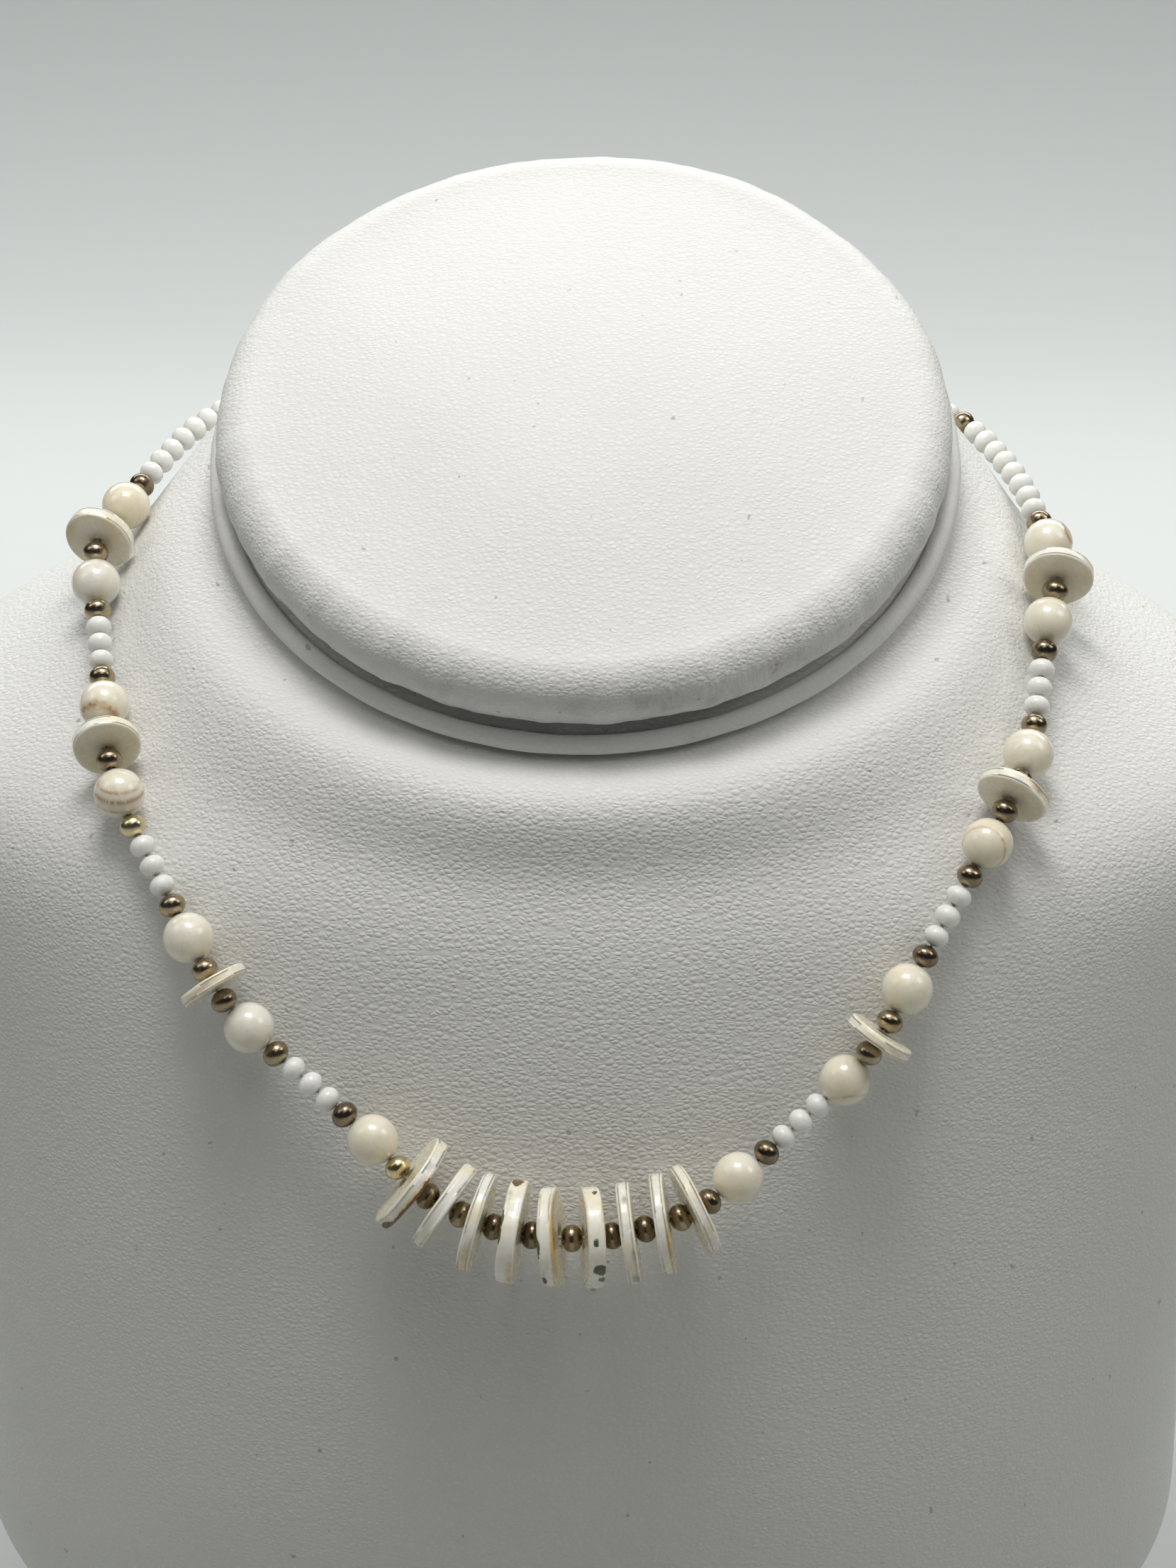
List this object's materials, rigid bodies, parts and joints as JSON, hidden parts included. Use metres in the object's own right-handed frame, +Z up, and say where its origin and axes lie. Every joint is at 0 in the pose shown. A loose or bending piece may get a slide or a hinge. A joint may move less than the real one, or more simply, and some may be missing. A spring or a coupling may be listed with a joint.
{
  "type": "mother of pearl bead necklace on a neck bust",
  "caption": "Strung nacre rounds, small white and bronze spacers and irregular shell discs, lying round the neck of a padded white display bust.",
  "frame": {"origin": "middle of the bust's flat base, on the surface it stands on", "axes": "+Z up, +X the viewer's right, the chest faces -Y"},
  "size_m": [0.176, 0.1105, 0.1988],
  "materials": {
    "leatherette": "fine pebble grain, satin",
    "leatherette_cap": "fine pebble grain, satin, padded",
    "leatherette_piping": "fine pebble grain, satin",
    "thread": "matte",
    "clasp_metal": "polished bronze tone",
    "bronze": "polished bronze tone",
    "white_glass": "milky, satin",
    "nacre": "glossy, pearly",
    "shell": "glossy, banded"
  },
  "bodies": {
    "root": {"bust_form": "leatherette", "neck_cap": "leatherette_cap", "neck_piping": "leatherette_piping", "thread": "thread", "clasp": "clasp_metal", "bronze_beads": "bronze", "white_beads": "white_glass", "round_bead_left_1": "nacre", "round_bead_left_2": "nacre", "round_bead_left_3": "nacre", "round_bead_left_4": "nacre", "round_bead_left_5": "nacre", "round_bead_left_6": "nacre", "round_bead_left_7": "nacre", "round_bead_right_1": "nacre", "round_bead_right_2": "nacre", "round_bead_right_3": "nacre", "round_bead_right_4": "nacre", "round_bead_right_5": "nacre", "round_bead_right_6": "nacre", "round_bead_right_7": "nacre", "disc_center_1": "shell", "disc_center_2": "shell", "disc_center_3": "shell", "disc_center_4": "shell", "disc_center_5": "shell", "disc_center_6": "shell", "disc_center_7": "shell", "disc_center_8": "shell", "disc_center_9": "shell", "disc_left_1": "shell", "disc_left_2": "shell", "disc_left_3": "shell", "disc_right_1": "shell", "disc_right_2": "shell", "disc_right_3": "shell"}
  },
  "joints": []
}
